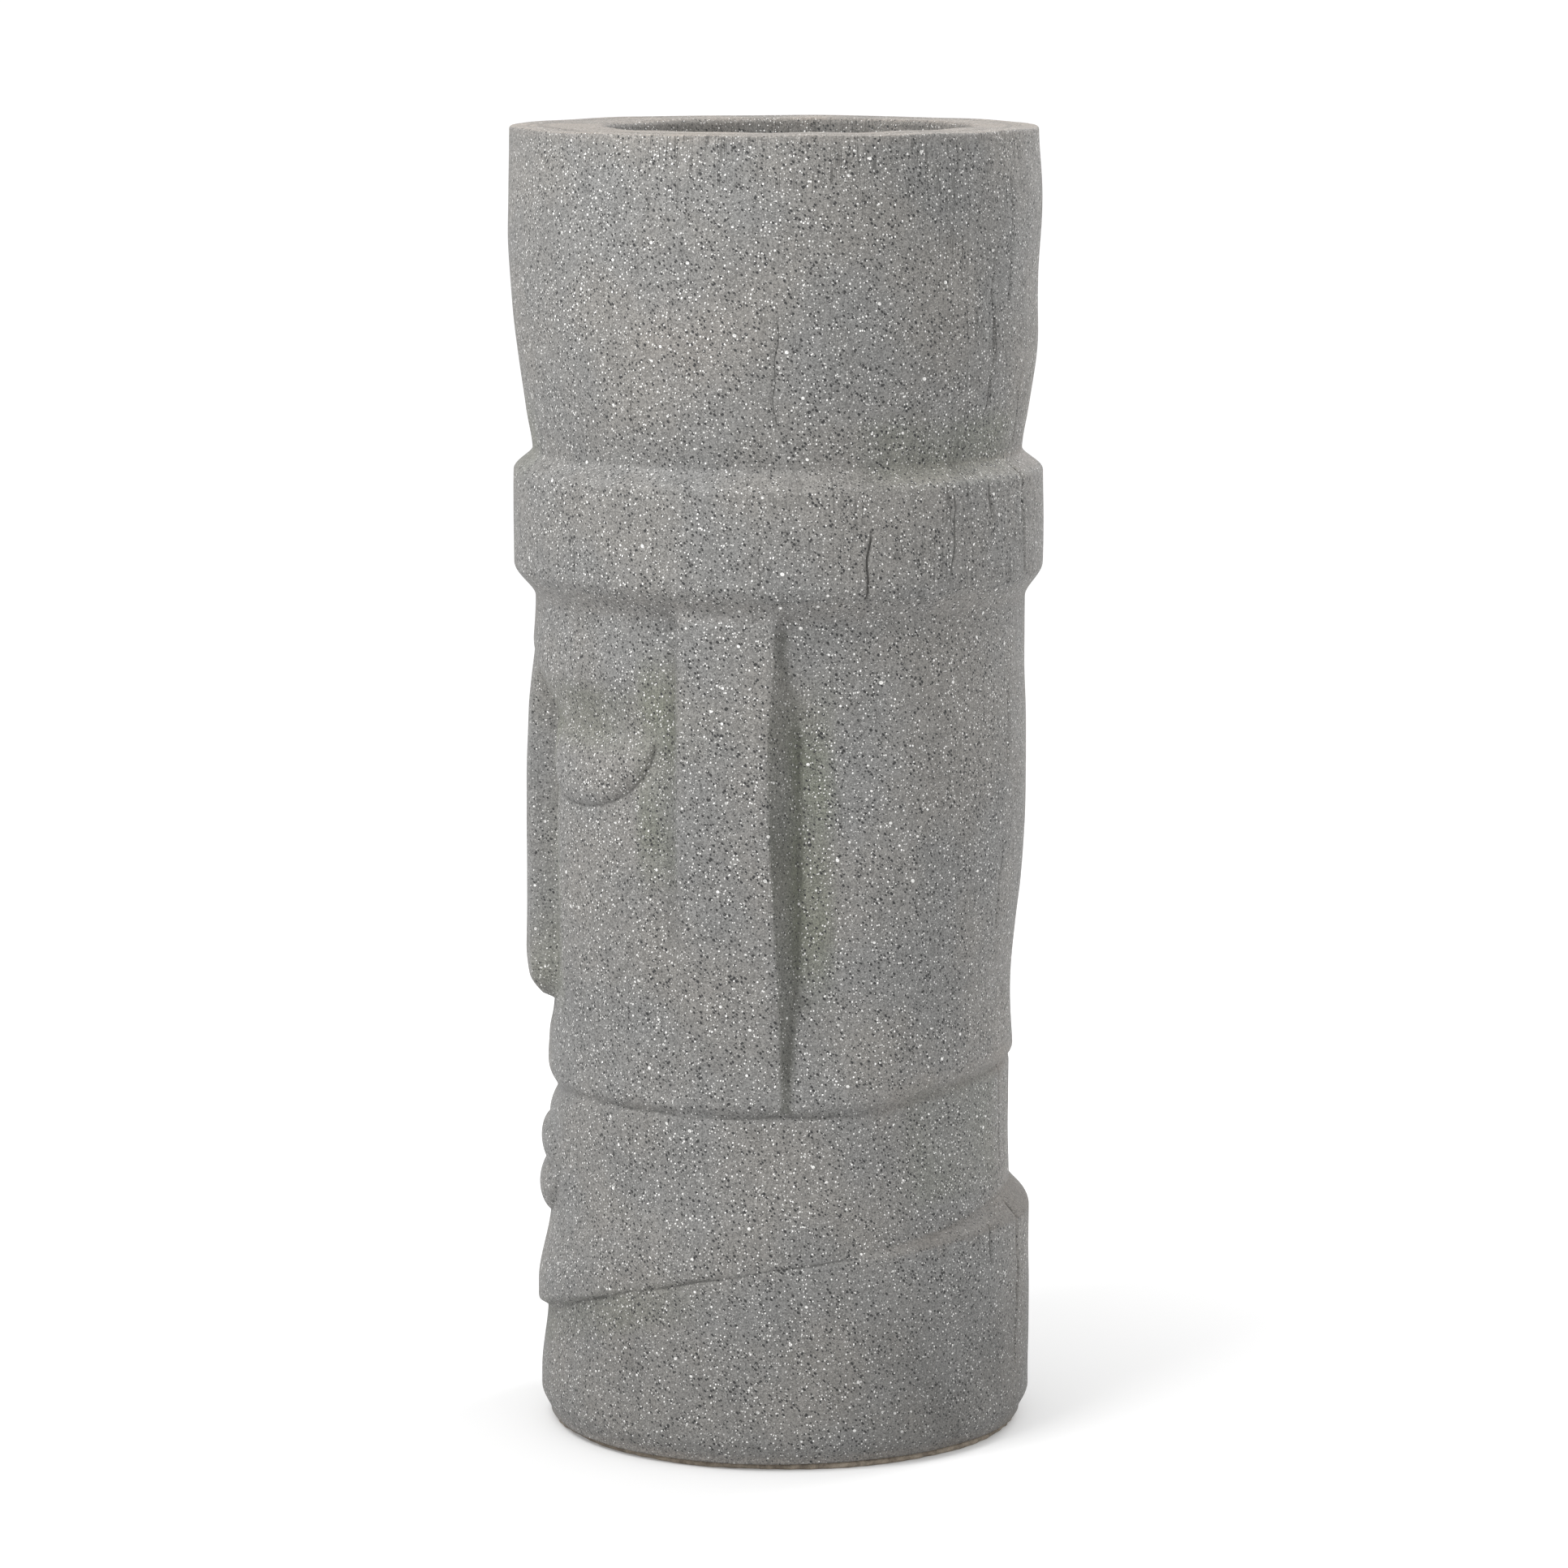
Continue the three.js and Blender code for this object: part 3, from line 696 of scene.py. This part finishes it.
def unrolled(paint, place):
    """The angle from the face in degrees, and the height in millimetres."""
    parts = paint.add("SeparateXYZ", {"Vector": place}).node.outputs
    back = paint.math("MULTIPLY", parts["Y"], -1.0)
    turn = paint.math("ARCTAN2", parts["X"], back)
    return paint.math("MULTIPLY", turn, math.degrees(1)), paint.math("MULTIPLY", parts["Z"], 1 / MM)


def crack_lines(paint, angle, height):
    """The dark lines of the drying cracks, as shares from 0 to 1."""
    total = 0.0
    for phase, (place, low, high, width, strength) in enumerate(CRACKS):
        turn = paint.math("MULTIPLY_ADD", height, 1 / STRAY_WIDE_LENGTH, phase)
        wide = paint.math("SINE", turn)
        turn = paint.math("MULTIPLY_ADD", height, 1 / STRAY_FINE_LENGTH, 2 * phase)
        fine = paint.math("MULTIPLY", paint.math("SINE", turn), STRAY_FINE)
        stray = paint.math("MULTIPLY_ADD", wide, STRAY_WIDE, fine)
        away = paint.math("SUBTRACT", angle, place)
        arc = paint.math("MULTIPLY", away, math.radians(BODY_RADIUS))
        off = paint.math("ABSOLUTE", paint.math("SUBTRACT", arc, stray))
        line = paint.rise(off, width, 0.15 * width)
        bottom, top = paint.rise(height, low, low + 9), paint.rise(height, high, high - 9)
        ends = paint.math("MULTIPLY", bottom, top)
        share = paint.math("MULTIPLY", paint.math("MULTIPLY", line, ends), strength)
        total = share if total == 0.0 else paint.math("MAXIMUM", total, share)
    return total


def upright_checks(paint, place, checks, patch):
    """The upright brushing of the surface, from 0 to 1, and the hairline checks in it."""
    angle, height = unrolled(paint, place)
    arc = paint.math("MULTIPLY", angle, math.radians(BODY_RADIUS))
    lane = paint.add("CombineXYZ", {0: arc, 1: paint.math("MULTIPLY", height, 0.035)})
    inputs = {"Vector": lane, "Scale": 0.21, "Detail": 3.0}
    streak = paint.add("TexNoise", inputs, noise_dimensions="2D")
    ridge = paint.math("ABSOLUTE", paint.math("SUBTRACT", streak, 0.5))
    hair = paint.math("MULTIPLY", paint.rise(ridge, 0.024, 0.006), checks)
    return streak, paint.math("MULTIPLY", hair, paint.rise(patch, 0.4, 0.6))


def crease_shade_lines(paint, patch):
    """Painted shade: thin dark lines in the bottom of the carving's creases, where shade falls, broken
    in places.
    """
    total = 0.0
    for name in CREASES:
        off = paint.math("ABSOLUTE", paint.mark(name + " off"))
        line = paint.math("MULTIPLY", paint.rise(off, 1.1, 0.2), paint.mark(name + " share"))
        total = paint.math("MAXIMUM", total, line)
    return paint.math("MULTIPLY", total, paint.span(patch, 0.5, 1.3))


def cast_stone(name, cracked, paste=PASTE):
    """Grey cement paste with white and black chips, tinted by the marks, and darkened by painted shade
    and by the dark lines of its cracks and creases.
    """
    paint = Paint(name)
    place = paint.place()
    plain, tan, moss = paint.mark("plain"), paint.mark("tan"), paint.mark("moss")
    painted_shade, checks = paint.mark("painted_shade"), paint.mark("checks")

    cloud = paint.noise(place, 70, 3.0, 0.55)
    patch = paint.noise(place, 16, 3.0, 0.6)
    grain = paint.noise(place, 0.7, 3.0, 0.75)

    warm = tuple(c * f for c, f in zip(paste, (1.03, 1.0, 0.965, 1.0)))
    colour = paint.mix(paint.rise(cloud, 0.35, 0.65), paste, warm)
    tan_share = paint.math("MULTIPLY", tan, paint.span(patch, 0.45, 1.35), clamp=True)
    colour = paint.mix(tan_share, colour, TAN_STAIN)
    moss_share = paint.math("MULTIPLY", moss, paint.span(patch, 0.5, 1.1), clamp=True)
    colour = paint.mix(moss_share, colour, GREEN_STAIN)

    clump = paint.span(patch, 0.72, 1.22)
    bare = paint.math("SUBTRACT", 1.0, plain)
    shown = paint.math("MULTIPLY", bare, clump)
    white, white_shade = chips(paint, place, 1.5, 0.16, 0.64, (0.4, 0.9, 0.2), 1.4, shown)
    sliver, _ = chips(paint, place, 2.2, 0.15, 0.46, (1.2, 0.3, 0.7), 2.6, shown)
    large, _ = chips(paint, place, 8.0, 0.3, 1.2, (0.2, 0.5, 1.1), 1.2, bare)
    black, _ = chips(paint, place, 1.65, 0.2, 0.94, (0.8, 0.1, 1.5), 1.5, shown)

    sand = paint.add("TexVoronoi", {"Vector": place, "Scale": 1 / (SAND_SIZE * MM)}, output=1)
    sand_tone = paint.span(paint.add("SeparateColor", {"Color": sand}), -0.4, 0.4)
    soft_tone = paint.span(paint.math("MULTIPLY_ADD", cloud, 0.25, grain), 0.5, 1.32)
    streak, hair = upright_checks(paint, place, checks, patch)
    brushed = paint.math("MULTIPLY", paint.span(streak, -0.18, 0.18), checks)
    tone = paint.math("ADD", paint.math("ADD", soft_tone, sand_tone), brushed)
    shade = paint.tint(colour, tone)
    shade = paint.mix(black, shade, BLACK_CHIP)
    pale = paint.mix(white_shade, GREY_CHIP, WHITE_CHIP)
    pale_share = paint.math("MAXIMUM", paint.math("MAXIMUM", white, sliver), large)
    shade = paint.mix(pale_share, shade, pale)

    line = paint.math("MULTIPLY", hair, 0.65)
    if cracked:
        angle, height = unrolled(paint, place)
        line = paint.math("MAXIMUM", line, crack_lines(paint, angle, height))
        # The crease lines are painted shade; the crack and hairline lines are the stone's own cracks.
        line = paint.math("MAXIMUM", line, crease_shade_lines(paint, patch))

    # Painted shade from the marks, with the crack, hairline and crease lines, takes the colour towards
    # near-black.
    painted_shade_cover = paint.math("MULTIPLY", painted_shade, 0.62)
    cover = paint.math("MAXIMUM", painted_shade_cover, paint.math("MULTIPLY", line, 0.82))
    shade = paint.mix(cover, shade, CRACK_AND_SHADE_BLACK)

    lump = paint.noise(place, 5.5, 2.0, 0.55)
    raised = paint.math("ADD", paint.math("MULTIPLY", grain, 0.3), paint.math("MULTIPLY", lump, 0.75))
    raised = paint.math("SUBTRACT", raised, paint.math("MULTIPLY", line, 0.9))
    paint.set(Base_Color=shade, Roughness=paint.span(paint.math("ADD", grain, white), 0.82, 0.5))
    paint.bump(raised, 0.8)
    return paint.material


# ---------------------------------------------------------------- the other materials


def mottled(name, dark_tone, light_tone, size, rough, height, grain=0.8):
    """A material for plain cement, plastic, sealant and rubber: two tones in soft patches,
    finer grain over them, and a bump of that height in millimetres."""
    paint = Paint(name)
    place = paint.place()
    patch = paint.noise(place, size, 4.0, 0.6)
    fine = paint.noise(place, grain, 3.0, 0.6)
    share = paint.math("ADD", paint.math("MULTIPLY", patch, 0.65), paint.math("MULTIPLY", fine, 0.35))
    colour = paint.mix(paint.rise(share, 0.35, 0.65), dark_tone, light_tone)
    paint.set(Base_Color=colour, Roughness=paint.span(share, rough + 0.1, rough - 0.1))
    paint.bump(paint.math("MULTIPLY", share, height))
    return paint.material


raw_cement = mottled("raw cement", (0.13, 0.105, 0.08, 1), (0.31, 0.265, 0.21, 1), 6, 0.88, 0.8)
mortar = mottled("mortar", (0.2, 0.185, 0.165, 1), (0.34, 0.315, 0.285, 1), 9, 0.88, 0.6)
pipe_plastic = mottled("pipe plastic", (0.62, 0.61, 0.57, 1), (0.72, 0.715, 0.68, 1), 40, 0.38, 0.05)
sealant = mottled("sealant", (0.24, 0.235, 0.22, 1), (0.36, 0.355, 0.335, 1), 12, 0.55, 0.35)
rubber = mottled("stopper rubber", (0.014, 0.014, 0.015, 1), (0.034, 0.033, 0.034, 1), 7, 0.62, 0.12)


# ---------------------------------------------------------------- the casting

RIM_ROUNDING = 2.5
RIM_INSET = 1.8  # how far the rounding pulls the rim in
BEAD_WIDTH = 5
BEAD_DEPTH = 9
BEAD_SINK = 0.5
INNER_LEVELS = (760, 660, 600, 536, 505, 455, 400, 350, 290, 230, 152, 110, 60, FOOT)


def turn_of(columns):
    return np.arange(columns) * 360 / columns - 180


def carved_casting():
    angles = turn_of(COLUMNS)
    rim_start = HEIGHT - RIM_ROUNDING
    top = rim_height(angles)
    rings = []
    for z in np.arange(FOOT, rim_start, ROW_STEP):
        rings.append(ring_points(angles, worn_radius(angles, z), z))
    for turn in np.linspace(0, math.pi / 2, 7):
        z = lerp(rim_start, top, math.sin(turn))
        edge = worn_radius(angles, z) - RIM_INSET * (1 - math.cos(turn))
        rings.append(ring_points(angles, edge, z))
    inside = inner_radius(angles, HEIGHT)
    for share in (0.2, 0.4, 0.6, 0.8, 1.0):
        uneven = lumps(angles, 90 * share, 0.12, 9, 18) * (1 - share)
        rings.append(ring_points(angles, lerp(edge, inside, share), top + uneven))
    for z in (HEIGHT - BEAD_DEPTH, *INNER_LEVELS):
        rings.append(ring_points(angles, inner_radius(angles, z), z))
    piece = add_skin("carved_casting", rings)
    thin_out(piece, SHELL_FACES)
    mark_surface(piece)
    piece.data.materials.append(carved_stone)
    stand_for(piece, "outer_shell", "planter")


# ---------------------------------------------------------------- the bowl and its mortar

BOWL_MOUTH_RADIUS = 113
BOWL_FLOOR_RADIUS = 92
BOWL_WALL = 10
BOWL_FLOOR_THICKNESS = 12
BOWL_FLOOR = BOWL_LOW[2] + BOWL_FLOOR_THICKNESS
FLANGE_THICKNESS = 12
LIP_ROUNDING = 4
FLOOR_ROUNDING = 12
HOLE_TOP_RADIUS = 12.9
HOLE_TIP_RADIUS = 11.1


def arc(centre, radius, start, end, steps):
    """Points (r, z) of an arc between two angles in degrees."""
    turn = np.radians(np.linspace(start, end, steps))
    return [(centre[0] + radius * math.cos(t), centre[1] + radius * math.sin(t)) for t in turn]


def planting_bowl():
    angles = turn_of(COLUMNS // 3)
    edge = inner_radius(angles, HEIGHT) - BEAD_WIDTH
    top = rim_height(angles)
    under = BOWL_LOW[2]
    outside = [(HOLE_TIP_RADIUS, under)]
    outside += arc((BOWL_FLOOR_RADIUS + BOWL_WALL - 8, under + 8), 8, -90, 0, 5)
    outside += [(BOWL_MOUTH_RADIUS + BOWL_WALL, HEIGHT - FLANGE_THICKNESS)]
    rings = [ring_points(angles, r, z, BOWL_Y) for r, z in outside]
    rings.append(ring_points(angles, edge, HEIGHT - FLANGE_THICKNESS))
    rings.append(ring_points(angles, edge, top))
    flat = BOWL_MOUTH_RADIUS + LIP_ROUNDING
    outer_ring = rings[-1] / MM
    inner_ring = ring_points(angles, flat, HEIGHT, BOWL_Y) / MM
    for share in (0.25, 0.5, 0.75, 1.0):
        points = lerp(outer_ring, inner_ring, share)
        points[:, 2] = top + lumps(angles, 70 * share, 0.14, 12, 18) * math.sin(math.pi * share)
        rings.append(points * MM)
    drop = HEIGHT - LIP_ROUNDING - BOWL_FLOOR - FLOOR_ROUNDING
    lean = (BOWL_MOUTH_RADIUS - BOWL_FLOOR_RADIUS) / drop
    for r, z in arc((flat, HEIGHT - LIP_ROUNDING), LIP_ROUNDING, 90, 180, 6)[1:]:
        rings.append(ring_points(angles, r, z - HEIGHT + top, BOWL_Y))
    for z in np.linspace(HEIGHT - LIP_ROUNDING - 6, BOWL_FLOOR + FLOOR_ROUNDING, 26):
        wall = BOWL_FLOOR_RADIUS + lean * (z - BOWL_FLOOR - FLOOR_ROUNDING)
        rings.append(ring_points(angles, wall + lumps(angles, z, 0.4, 13), z, BOWL_Y))
    corner = (BOWL_FLOOR_RADIUS - FLOOR_ROUNDING, BOWL_FLOOR + FLOOR_ROUNDING)
    for r, z in arc(corner, FLOOR_ROUNDING, -10, -90, 8):
        rings.append(ring_points(angles, r, z, BOWL_Y))
    for r in (60, 40, 24, HOLE_TOP_RADIUS + 1):
        rings.append(ring_points(angles, r, BOWL_FLOOR, BOWL_Y))
    rings.append(ring_points(angles, HOLE_TOP_RADIUS, BOWL_FLOOR - 0.6, BOWL_Y))
    piece = add_skin("inset_bowl", rings)
    mark_surface(piece)
    piece.data.materials.append(shaded_bowl_stone)
    stand_for(piece, "planting_bowl", "planter")


def rim_bead():
    angles = turn_of(COLUMNS // 3)
    outer = inner_radius(angles, HEIGHT)
    inner = outer - BEAD_WIDTH
    top = rim_height(angles)
    low = HEIGHT - BEAD_DEPTH
    rings = [
        ring_points(angles, inner, low),
        ring_points(angles, outer, low),
        ring_points(angles, outer, top),
        ring_points(angles, lerp(inner, outer, 0.7), top - BEAD_SINK),
        ring_points(angles, lerp(inner, outer, 0.35), top - BEAD_SINK + lumps(angles, 0, 0.2, 14, 18)),
        ring_points(angles, inner, top),
    ]
    piece = add_skin("rim_mortar", rings)
    mark_surface(piece)
    piece.data.materials.append(rim_mortar)
    stand_for(piece, "rim_mortar_bead", "planter")


# ---------------------------------------------------------------- the foot

PLATE_LOW, PLATE_HIGH = box_mm("base_plate")
PLATE_Y = (PLATE_LOW[1] + PLATE_HIGH[1]) / 2
LIP_RADIUS = (PLATE_HIGH[1] - PLATE_LOW[1]) / 2
LIP_THICKNESS = 4
SPIGOT_RADIUS = 136
TUBE_HOLE_RADIUS = (TUBE_HIGH[0] - TUBE_LOW[0]) / 2 + 0.3
GROOVE_WIDTH = 12
GROOVE_DEPTH = 3


def foot_plate():
    """The cement disc under the casting. Its lip is ragged, as a trowelled edge is."""
    angles = turn_of(COLUMNS // 2)
    ragged = lumps(angles, 0, 0.7, 15, 20) + lumps(angles * 5, 0, 0.35, 16, 20)
    lip = LIP_RADIUS - 1 + np.minimum(ragged, 0.9)
    rings = [
        ring_points(angles, TUBE_HOLE_RADIUS, 0, BOWL_Y),
        ring_points(angles, lip - 1.5, 0, PLATE_Y),
        ring_points(angles, lip - 0.4, 0.5, PLATE_Y),
        ring_points(angles, lip, 1.7, PLATE_Y),
        ring_points(angles, lip - 0.2, 3.1, PLATE_Y),
        ring_points(angles, lip - 1.2, LIP_THICKNESS, PLATE_Y),
        ring_points(angles, SPIGOT_RADIUS, LIP_THICKNESS, PLATE_Y),
        ring_points(angles, SPIGOT_RADIUS, PLATE_HIGH[2] - 1, PLATE_Y),
        ring_points(angles, SPIGOT_RADIUS - 1, PLATE_HIGH[2], PLATE_Y),
        ring_points(angles, TUBE_HOLE_RADIUS, PLATE_HIGH[2], BOWL_Y),
    ]
    piece = add_skin("foot_plate", rings)
    length = LIP_RADIUS + 20
    size = (GROOVE_WIDTH, length, 2 * GROOVE_DEPTH)
    cutter = add_block("groove", size, (0, BOWL_Y + length / 2 + 8, 0))
    combine(piece, cutter, "DIFFERENCE")
    piece.data.materials.append(raw_cement)
    stand_for(piece, "base_plate", "planter")


# ---------------------------------------------------------------- the stopper

RING_RADIUS = 8
RING_THICKNESS = 2
HEAD_THICKNESS = 3.5


def drain_stopper():
    """A tapered plug with a dished head, and an upright ring to pull it by."""
    angles = turn_of(96)
    seat = BOWL_FLOOR + 0.3
    top = seat + HEAD_THICKNESS
    head = (STOPPER_HIGH[0] - STOPPER_LOW[0]) / 2
    outline = [(0.3, STOPPER_LOW[2]), (10, STOPPER_LOW[2]), (10.8, STOPPER_LOW[2] + 0.8), (12.6, seat)]
    outline += [(head - 0.6, seat)] + arc((head - 0.8, seat + 0.8), 0.8, -60, 0, 4)
    outline += arc((head - 1.2, top - 1.2), 1.2, 0, 90, 6)
    outline += [(head - 3, top), (head - 4, top - 0.7), (7.5, top - 0.7), (6.3, top), (0.3, top)]
    plug = add_skin("plug_and_ring", [ring_points(angles, r, z, BOWL_Y) for r, z in outline])
    hoop = []
    lift = top + RING_RADIUS - 0.5
    for turn in np.radians(turn_of(64)):
        reach = RING_RADIUS + RING_THICKNESS * np.cos(np.radians(angles[::4]))
        side = RING_THICKNESS * np.sin(np.radians(angles[::4]))
        x, z = reach * math.cos(turn), lift + reach * math.sin(turn)
        hoop.append(np.stack([x, BOWL_Y + side, z], -1) * MM)
    combine(plug, add_skin("hoop", hoop), "UNION")
    plug.data.materials.append(rubber)
    stand_for(plug, "drain_stopper", "stopper")


# ---------------------------------------------------------------- putting it together

carved_stone = cast_stone("carved cast stone", True)
# The bowl's darker stone is painted shade for inside the bowl.
shaded_bowl_stone = cast_stone("bowl cast stone", False, SHADED_BOWL_PASTE)
rim_mortar = cast_stone("rim mortar", False)

carved_casting()
planting_bowl()
rim_bead()
foot_plate()
drain_stopper()

HIDDEN = [
    ("base_mortar_bead", mortar, "base_mortar"),
    ("drain_tube", pipe_plastic, "drain_plastic"),
    ("upper_tube_collar", sealant, "upper_sealant"),
    ("lower_tube_collar", sealant, "lower_sealant"),
]
for node, material, slot in HIDDEN:
    nodes[node].material_slots[0].material = material


# ---------------------------------------------------------------- stage, light and camera

CAMERA_PLACE = (3.547, 0.0048, 0.9505)  # metres
CAMERA_FALL = 8.786  # degrees below the horizon
CAMERA_LENS = 131.6  # on a 36 mm wide sensor
FLOOR_REACH = 90.0
FLOOR_TONE = 0.62
# The floor glows, and glows less near the planter: a painted soft shadow round its foot.
GLOW_START = 0.2  # metres from the planter's axis
GLOW_END = 1.1
SHADOWED_GLOW = 0.16
GLOW_FAR = 0.41


def make_floor():
    mesh = bpy.data.meshes.new("floor")
    corners = [(-1, -1, 0), (1, -1, 0), (1, 1, 0), (-1, 1, 0)]
    mesh.from_pydata([tuple(c * FLOOR_REACH for c in corner) for corner in corners], [], [(0, 1, 2, 3)])
    floor = bpy.data.objects.new("floor", mesh)
    bpy.context.scene.collection.objects.link(floor)
    paint = Paint("floor")
    distance = paint.add("VectorMath", {0: paint.place()}, 1, operation="LENGTH")
    # Painted shadow: the floor's glow is dimmer near the planter's axis.
    glow_with_painted_shadow = paint.span(paint.rise(distance, GLOW_START, GLOW_END), SHADOWED_GLOW, GLOW_FAR)
    paint.set(Base_Color=grey(FLOOR_TONE), Roughness=0.9)
    paint.set(Emission_Color=WHITE, Emission_Strength=glow_with_painted_shadow)
    mesh.materials.append(paint.material)


def make_world():
    world = bpy.data.worlds.new("studio")
    world.use_nodes = True
    background = next(n for n in world.node_tree.nodes if n.type == "BACKGROUND")
    background.inputs["Color"].default_value = WHITE
    background.inputs["Strength"].default_value = 1.0
    bpy.context.scene.world = world


def soft_box(name, angle, distance, height, size, power):
    """A square lamp that looks at the upper half of the planter, from an angle round it."""
    lamp = bpy.data.lights.new(name, "AREA")
    lamp.shape = "SQUARE"
    lamp.size = size
    lamp.energy = power
    stand = bpy.data.objects.new(name, lamp)
    bpy.context.scene.collection.objects.link(stand)
    turn = math.radians(angle)
    stand.location = (distance * math.sin(turn), -distance * math.cos(turn), height)
    target = Vector((0, 0, 0.7 * cad_high.z))
    stand.rotation_euler = (stand.location - target).to_track_quat("Z", "Y").to_euler()
    stand.visible_camera = False


def make_camera():
    camera = bpy.data.objects.new("camera", bpy.data.cameras.new("camera"))
    bpy.context.scene.collection.objects.link(camera)
    camera.location = CAMERA_PLACE
    camera.rotation_euler = (math.radians(90 - CAMERA_FALL), 0, math.radians(90))
    camera.data.lens = CAMERA_LENS
    camera.data.sensor_width = 36
    camera.data.clip_end = 2 * FLOOR_REACH
    bpy.context.scene.camera = camera


make_floor()
make_world()
soft_box("key", angle=45, distance=1.2, height=1.9, size=0.9, power=31)
soft_box("rim", angle=-140, distance=1.3, height=1.7, size=0.7, power=16)
make_camera()
bpy.context.scene.view_settings.view_transform = "Standard"
